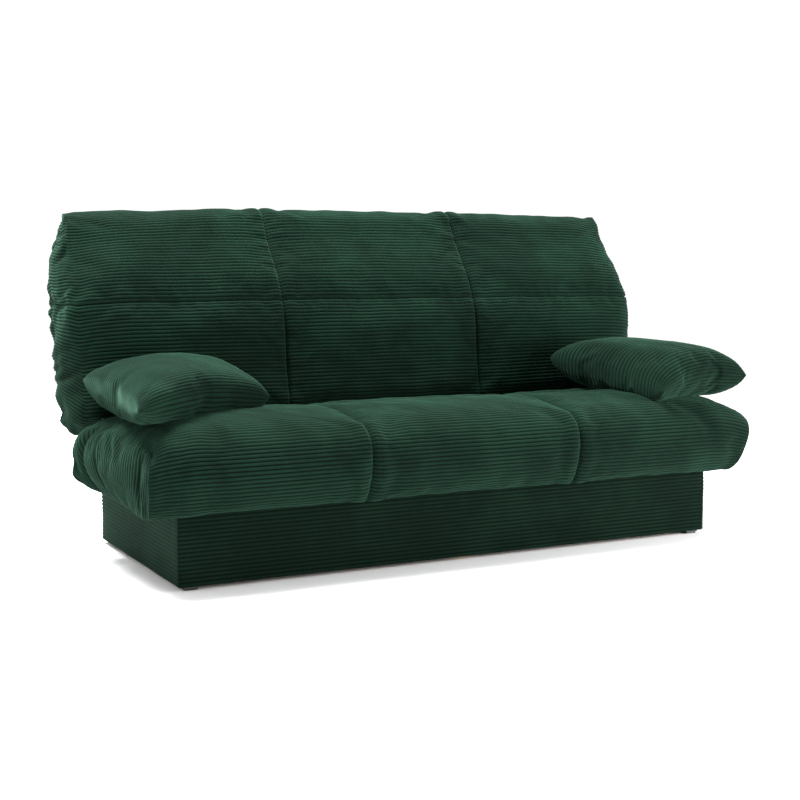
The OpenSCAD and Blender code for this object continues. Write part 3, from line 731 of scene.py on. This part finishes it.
def foam_pad(pad, place, mirrored, length, far_radius, crown, power, drop, droop):
    """A block of foam: the pad's outline, set in under the cover, carried across the width with
    its ends closed by rings that shrink to the outline's middle. Towards the ends its top falls
    by drop and its far edge draws back by droop, as the cover's do."""
    node = f"{pad}_foam"
    half = float(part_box(node)[1].x)
    under = float(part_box("seat_foam")[0].z) - axis[2]
    cover = 0.026
    outline = pad_profile(length, far_radius, crown, power,
                          np.array([[length - cover, under + 0.004]]), inset=cover)
    outline = outline[outline[:, 1] > under]
    outline = even_steps(np.concatenate([[[outline[0, 0], under]], outline,
                                         [[outline[-1, 0] - 0.004, under]],
                                         [[outline[0, 0] + 0.004, under]],
                                         [[outline[0, 0], under]]]), 0.012)[:-1]
    middle = outline.mean(axis=0)
    x = np.concatenate([[-half, -half, -half, -half + 0.004], np.linspace(
        -half + 0.012, half - 0.012, 61), [half - 0.004, half, half, half]])
    rings = np.array([0.0, 0.5, 0.93, 0.985])
    grow = np.concatenate([rings, np.ones(len(x) - 8), rings[::-1]])
    p = np.zeros((len(x), len(outline), 3))
    p[..., 0] = x[:, None]
    p[..., 1:] = middle + (outline - middle) * grow[:, None, None]
    p[..., 2] -= drop * (near_end(x) ** 2)[:, None] * np.clip((p[..., 2] - under) / 0.06, 0, 1)
    past = np.clip((np.abs(x) - seam_x) / (end_x - seam_x), 0, 1) ** 1.3
    p[..., 1] -= droop * past[:, None] * np.clip(p[..., 1] / length, 0, 1) ** 3
    at = np.arange(p.shape[0] * p.shape[1]).reshape(p.shape[:2])
    faces = grid_faces(np.concatenate([at, at[:, :1]], 1))
    points = place(p.reshape(-1, 3))
    piece = new_piece(f"{pad}_foam_block", points, faces if mirrored else faces[:, ::-1],
                      foam_cream)
    tidy = bpy.data.meshes.new(f"{pad}_foam_block")
    whole = bmesh.new()
    whole.from_mesh(piece.data)
    bmesh.ops.remove_doubles(whole, verts=whole.verts, dist=0.0002)
    bmesh.ops.recalc_face_normals(whole, faces=whole.faces)
    whole.to_mesh(tidy)
    whole.free()
    tidy.materials.append(foam_cream)
    piece.data = tidy
    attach(piece, pad)
    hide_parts(node)


foam_pad("seat", seat_place, True, seat_length, seat_edge, seat_crown, 1, 0.030, 0.0)
foam_pad("back", back_place, False, back_length, back_edge, back_crown, 2, 0.022, 0.045)


# ---- Lift springs ----
# A tension spring of 3 mm drawn steel wire lies beside each side of the box, from a hook plate
# to the tail of the seat's arm. It is drawn at rest and does not move with the seat. Drawn wire
# is bright, with fine lines along it.
spring_steel, spring_shader = new_material("drawn_spring_steel", Metallic=1.0, Roughness=0.34)
wire_lines = add(spring_steel, "ShaderNodeTexNoise", {"Scale": 260.0, "Detail": 3.0},
                 {"Vector": (add(spring_steel, "ShaderNodeTexCoord"), "Object")})
join(spring_steel, two_tone(spring_steel, wire_lines, "Fac", "#8d9196", "#b9bdc2"), 2,
     spring_shader, "Base Color")


def tube(path, radius, sides=8):
    """A round wire carried along a path of points, its rings square to the path, with closed
    ends: each ring is the path's point plus radius times a circle."""
    forward = np.gradient(path, axis=0)
    forward /= np.linalg.norm(forward, axis=1, keepdims=True)
    aside = np.cross(forward, [0.31, 0.17, 0.93])
    aside /= np.linalg.norm(aside, axis=1, keepdims=True)
    upward = np.cross(forward, aside)
    a = np.linspace(0, 2 * np.pi, sides, endpoint=False)
    rings = path[:, None] + radius * (np.cos(a)[:, None] * aside[:, None]
                                      + np.sin(a)[:, None] * upward[:, None])
    rings = np.concatenate([np.repeat(path[:1, None], sides, 1), rings,
                            np.repeat(path[-1:, None], sides, 1)])
    at = np.arange(rings.shape[0] * sides).reshape(-1, sides)
    return rings.reshape(-1, 3), grid_faces(np.concatenate([at, at[:, :1]], 1))[:, ::-1]


for side in ("left", "right"):
    low, high = (np.array(v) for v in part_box(f"lift_spring_{side}"))
    middle_x = (low[0] + high[0]) / 2
    middle_z = (low[2] + high[2]) / 2
    wire = 0.0015
    coil_radius = (high[2] - low[2]) / 2 - wire
    turns = 26
    a = np.linspace(0, 2 * np.pi * turns, turns * 14)
    first_y = low[1] + 0.042
    last_y = high[1] - 0.020
    y = first_y + (last_y - first_y) * a / a[-1]
    coil = np.stack([middle_x + coil_radius * np.cos(a), y, middle_z + coil_radius * np.sin(a)], -1)
    front = np.linspace([middle_x, low[1], middle_z], [middle_x, first_y - 0.010, middle_z], 5)
    rear = np.linspace([middle_x, last_y + 0.008, middle_z], [middle_x, high[1], middle_z], 4)
    spring_points, spring_faces = tube(np.concatenate([front, coil, rear]), wire)
    spring = new_piece(f"lift_spring_{side}_coil", spring_points, spring_faces, spring_steel)
    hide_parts(f"lift_spring_{side}")
    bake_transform(spring)


# ---- Boards ----
# The box is raw 16 mm particle board: pressed wood chips a few millimetres long, pale and matt.
# The bottom is brown hardboard, pressed fibre with one smooth face.
def set_material(material, *nodes):
    """Gives CAD nodes their finish."""
    for node in nodes:
        mesh = frame["nodes"][node].data
        mesh.materials.clear()
        mesh.materials.append(material)


chip_board, chip_shader = new_material("raw_particle_board", Roughness=0.8)
chips = add(chip_board, "ShaderNodeTexVoronoi", {"Scale": 260.0},
            {"Vector": (add(chip_board, "ShaderNodeTexCoord"), "Object")})
chip_grey = add(chip_board, "ShaderNodeSeparateColor", links={0: (chips, "Color")})
join(chip_board, two_tone(chip_board, chip_grey, 0, "#b08e5f", "#dcc196"), 2, chip_shader,
     "Base Color")
join(chip_board, add(chip_board, "ShaderNodeBump", {"Strength": 0.25, "Distance": 0.0006},
                     {"Height": (chips, "Distance")}), "Normal", chip_shader, "Normal")
set_material(chip_board, "box_front_panel", "box_rear_panel", "box_left_panel",
             "box_right_panel")

fibre_board, fibre_shader = new_material("smooth_hardboard", Roughness=0.55)
fibres = add(fibre_board, "ShaderNodeTexNoise", {"Scale": 420.0, "Detail": 4.0},
             {"Vector": (add(fibre_board, "ShaderNodeTexCoord"), "Object")})
join(fibre_board, two_tone(fibre_board, fibres, "Fac", "#553720", "#7d5535"), 2, fibre_shader,
     "Base Color")
set_material(fibre_board, "box_bottom_left", "box_bottom_right")


# ---- Slats, blocks and rail ----
# The slats are bent from thin layers of beech and lacquered, with a fine straight grain and
# short darker flecks. The corner blocks and the rail are sawn from the same wood.
def beech(name, turn):
    """Lacquered beech whose grain runs along Y, turned about X by an angle in degrees."""
    wood, shader = new_material(name, Roughness=0.42, Coat_Weight=0.15, Coat_Roughness=0.3)
    along = add(wood, "ShaderNodeMapping",
                {"Rotation": (math.radians(turn), 0, 0), "Scale": (90.0, 2.5, 90.0)},
                {"Vector": (add(wood, "ShaderNodeTexCoord"), "Object")}, vector_type="POINT")
    grain = add(wood, "ShaderNodeTexNoise", {"Scale": 3.0, "Detail": 5.0, "Distortion": 0.4},
                {"Vector": (along, "Vector")})
    join(wood, two_tone(wood, grain, "Fac", "#b98a58", "#e3c195"), 2, shader, "Base Color")
    join(wood, add(wood, "ShaderNodeBump", {"Strength": 0.1, "Distance": 0.0004},
                   {"Height": (grain, "Fac")}), "Normal", shader, "Normal")
    return wood


set_material(beech("lacquered_beech", 0), "seat_slats", "box_corner_blocks", "box_centre_rail")
set_material(beech("lacquered_beech_upright", -math.degrees(math.pi / 2 - lean)), "back_slats")


# ---- Steel ----
# The frames are square tube with a black powder coat, baked on with a slight orange peel. The
# arms, brackets and fastenings are zinc plated, a cool grey metal with faint cloudy spangles.
powder_coat, powder_shader = new_material("black_powder_coated_steel", Roughness=0.45)
peel = add(powder_coat, "ShaderNodeTexNoise", {"Scale": 700.0, "Detail": 1.0},
           {"Vector": (add(powder_coat, "ShaderNodeTexCoord"), "Object")})
join(powder_coat, two_tone(powder_coat, peel, "Fac", "#202123", "#2c2d30"), 2, powder_shader,
     "Base Color")
join(powder_coat, add(powder_coat, "ShaderNodeBump", {"Strength": 0.25, "Distance": 0.0004},
                      {"Height": (peel, "Fac")}), "Normal", powder_shader, "Normal")
set_material(powder_coat, *(f"{pad}_{rail}" for pad, rails in (
    ("seat", ("front_rail", "rear_rail", "cross_tubes")),
    ("back", ("top_rail", "bottom_rail", "cross_tubes"))) for rail in rails))

zinc, zinc_shader = new_material("zinc_plated_steel", Metallic=1.0, Roughness=0.38)
spangle = add(zinc, "ShaderNodeTexNoise", {"Scale": 120.0, "Detail": 3.0},
              {"Vector": (add(zinc, "ShaderNodeTexCoord"), "Object")})
join(zinc, two_tone(zinc, spangle, "Fac", "#8f9498", "#c3c7ca"), 2, zinc_shader, "Base Color")
set_material(zinc, "seat_arm_left", "seat_arm_right", "back_arm_left", "back_arm_right",
             "bracket_left", "bracket_right", "bracket_bolts", "pivot_pin_left",
             "pivot_pin_right", "seat_bolts", "back_bolts", "box_screws", "spring_hooks")


# ---- Plastic and rubber ----
# Glides, slat caps, tube plugs and spacers are moulded in black polypropylene with a fine matt
# texture. The washers are natural nylon, and the seat rests on soft black rubber buffers.
def moulded(name, dark, light, roughness):
    """A moulded plastic in two close tones with a fine spark-eroded texture, drawn at 2 mm."""
    plastic, shader = new_material(name, Roughness=roughness)
    grain = add(plastic, "ShaderNodeTexNoise", {"Scale": 500.0, "Detail": 2.0},
                {"Vector": (add(plastic, "ShaderNodeTexCoord"), "Object")})
    join(plastic, two_tone(plastic, grain, "Fac", dark, light), 2, shader, "Base Color")
    join(plastic, add(plastic, "ShaderNodeBump", {"Strength": 0.2, "Distance": 0.0004},
                      {"Height": (grain, "Fac")}), "Normal", shader, "Normal")
    return plastic


set_material(moulded("black_polypropylene", "#131313", "#1d1d1e", 0.5), "glides",
             "seat_slat_caps", "back_slat_caps", "seat_tube_plugs", "back_tube_plugs",
             "back_spacers")
set_material(moulded("natural_nylon", "#dcd9cf", "#ebe8df", 0.4), "pivot_washers")
set_material(moulded("black_rubber", "#101010", "#181818", 0.8), "seat_buffers")


# ---- The whole sofa ----
# The visual model's box is kept beside the frame's.
low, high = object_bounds()
